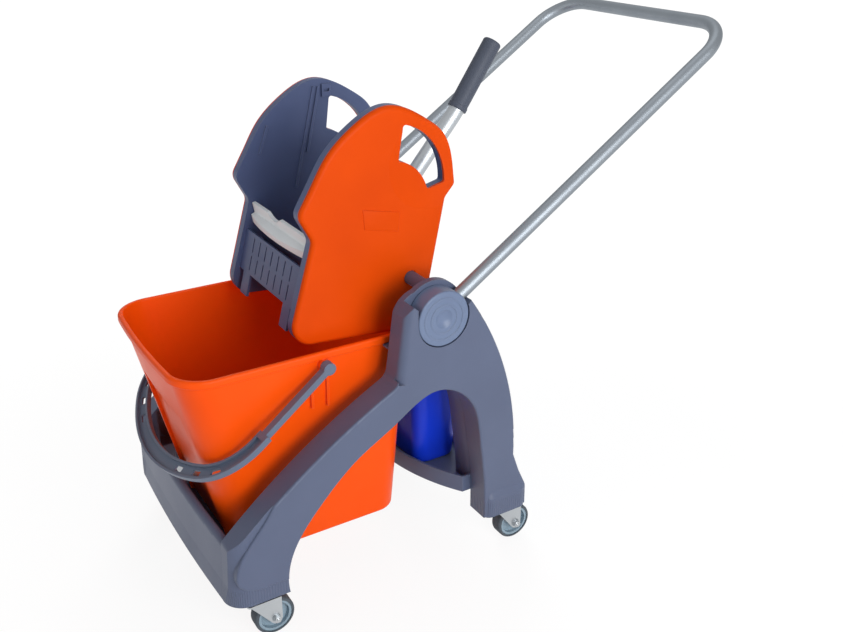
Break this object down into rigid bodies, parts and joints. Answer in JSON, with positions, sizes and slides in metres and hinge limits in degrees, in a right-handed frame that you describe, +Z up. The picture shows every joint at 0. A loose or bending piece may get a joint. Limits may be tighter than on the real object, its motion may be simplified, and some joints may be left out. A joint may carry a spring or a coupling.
{
  "type": "mop bucket trolley",
  "caption": "Mop bucket trolley: moulded frame on swivel casters, tapered bucket with bail, lever press wringer, small rear bucket and a folding push handle.",
  "frame": {"origin": "on the floor, at the middle of the trolley's overall length and width", "axes": "+Z up, -Y towards the bucket end, +Y towards the push handle, +X to the trolley's right"},
  "size_m": [0.442, 0.9064, 0.7953],
  "materials": {
    "frame_grey": "satin moulded plastic",
    "orange": "smooth moulded plastic",
    "wringer_grey": "satin moulded plastic",
    "blue": "smooth moulded plastic",
    "white": "smooth moulded plastic",
    "tube": "satin anodised tube",
    "steel": "plain bright steel",
    "grip": "soft matt grip",
    "bail_grey": "satin moulded plastic",
    "caster_grey": "moulded wheel core",
    "tyre": "matt tread"
  },
  "bodies": {
    "frame": {"axle_bush_left": "white", "axle_bush_right": "white", "bucket": "orange", "drain_wall": "wringer_grey", "front_bumper": "frame_grey", "pivot_bolt_left": "steel", "pivot_bolt_right": "steel", "press_rod": "steel", "rear_shelf": "frame_grey", "rear_tie": "steel", "side_frame_left": "frame_grey", "side_frame_right": "frame_grey", "small_bucket": "blue", "wringer_cover_left": "orange", "wringer_cover_right": "orange", "wringer_plate_left": "wringer_grey", "wringer_plate_right": "wringer_grey"},
    "handle": {"handle_tube": "tube", "hub_disc_left": "frame_grey", "hub_disc_right": "frame_grey"},
    "lever": {"crank_left": "wringer_grey", "crank_pin_left": "steel", "crank_pin_right": "steel", "crank_right": "wringer_grey", "cross_axle": "steel", "lever_grip": "grip", "lever_socket": "steel", "lever_tube": "tube"},
    "links": {"link_left": "wringer_grey", "link_right": "wringer_grey"},
    "press": {"press_lip": "white", "press_pin_left": "steel", "press_pin_right": "steel", "press_plate": "wringer_grey"},
    "bail": {"bail": "bail_grey"},
    "caster_front_right": {"caster_axle_front_right": "steel", "caster_fork_front_right": "steel", "caster_stem_front_right": "steel"},
    "wheel_front_right": {"wheel_core_front_right": "caster_grey", "wheel_tyre_front_right": "tyre"},
    "caster_front_left": {"caster_axle_front_left": "steel", "caster_fork_front_left": "steel", "caster_stem_front_left": "steel"},
    "wheel_front_left": {"wheel_core_front_left": "caster_grey", "wheel_tyre_front_left": "tyre"},
    "caster_rear_right": {"caster_axle_rear_right": "steel", "caster_fork_rear_right": "steel", "caster_stem_rear_right": "steel"},
    "wheel_rear_right": {"wheel_core_rear_right": "caster_grey", "wheel_tyre_rear_right": "tyre"},
    "caster_rear_left": {"caster_axle_rear_left": "steel", "caster_fork_rear_left": "steel", "caster_stem_rear_left": "steel"},
    "wheel_rear_left": {"wheel_core_rear_left": "caster_grey", "wheel_tyre_rear_left": "tyre"}
  },
  "joints": [
    {"name": "handle_fold", "type": "hinge", "parent": "frame", "child": "handle", "pos_m": [0, -0.07912, 0.433], "axis": [1, 0, 0], "range_deg": [0, 105]},
    {"name": "lever_swing", "type": "hinge", "parent": "frame", "child": "lever", "pos_m": [0, -0.07562, 0.461], "axis": [1, 0, 0], "range_deg": [0, 40]},
    {"name": "press_swing", "type": "hinge", "parent": "frame", "child": "press", "pos_m": [0, -0.19712, 0.405], "axis": [1, 0, 0], "range_deg": [-40, 0]},
    {"name": "link_pivot", "type": "hinge", "parent": "lever", "child": "links", "pos_m": [0, -0.08166, 0.42673], "axis": [1, 0, 0], "range_deg": [-40, 0]},
    {"name": "bail_swing", "type": "hinge", "parent": "frame", "child": "bail", "pos_m": [0, -0.23412, 0.377], "axis": [-1, 0, 0], "range_deg": [0, 120]},
    {"name": "swivel_front_right", "type": "hinge", "parent": "frame", "child": "caster_front_right", "pos_m": [0.197, -0.37912, 0.067], "axis": [0, 0, 1], "continuous": true},
    {"name": "roll_front_right", "type": "hinge", "parent": "caster_front_right", "child": "wheel_front_right", "pos_m": [0.197, -0.35212, 0.03], "axis": [1, 0, 0], "continuous": true},
    {"name": "swivel_front_left", "type": "hinge", "parent": "frame", "child": "caster_front_left", "pos_m": [-0.197, -0.37912, 0.067], "axis": [0, 0, 1], "continuous": true},
    {"name": "roll_front_left", "type": "hinge", "parent": "caster_front_left", "child": "wheel_front_left", "pos_m": [-0.197, -0.35212, 0.03], "axis": [1, 0, 0], "continuous": true},
    {"name": "swivel_rear_right", "type": "hinge", "parent": "frame", "child": "caster_rear_right", "pos_m": [0.197, 0.04288, 0.067], "axis": [0, 0, 1], "continuous": true},
    {"name": "roll_rear_right", "type": "hinge", "parent": "caster_rear_right", "child": "wheel_rear_right", "pos_m": [0.197, 0.06988, 0.03], "axis": [1, 0, 0], "continuous": true},
    {"name": "swivel_rear_left", "type": "hinge", "parent": "frame", "child": "caster_rear_left", "pos_m": [-0.197, 0.04288, 0.067], "axis": [0, 0, 1], "continuous": true},
    {"name": "roll_rear_left", "type": "hinge", "parent": "caster_rear_left", "child": "wheel_rear_left", "pos_m": [-0.197, 0.06988, 0.03], "axis": [1, 0, 0], "continuous": true}
  ],
  "couplings": [
    {"joint": "press_swing", "follows": "lever_swing", "ratio": -1},
    {"joint": "link_pivot", "follows": "lever_swing", "ratio": -1}
  ]
}
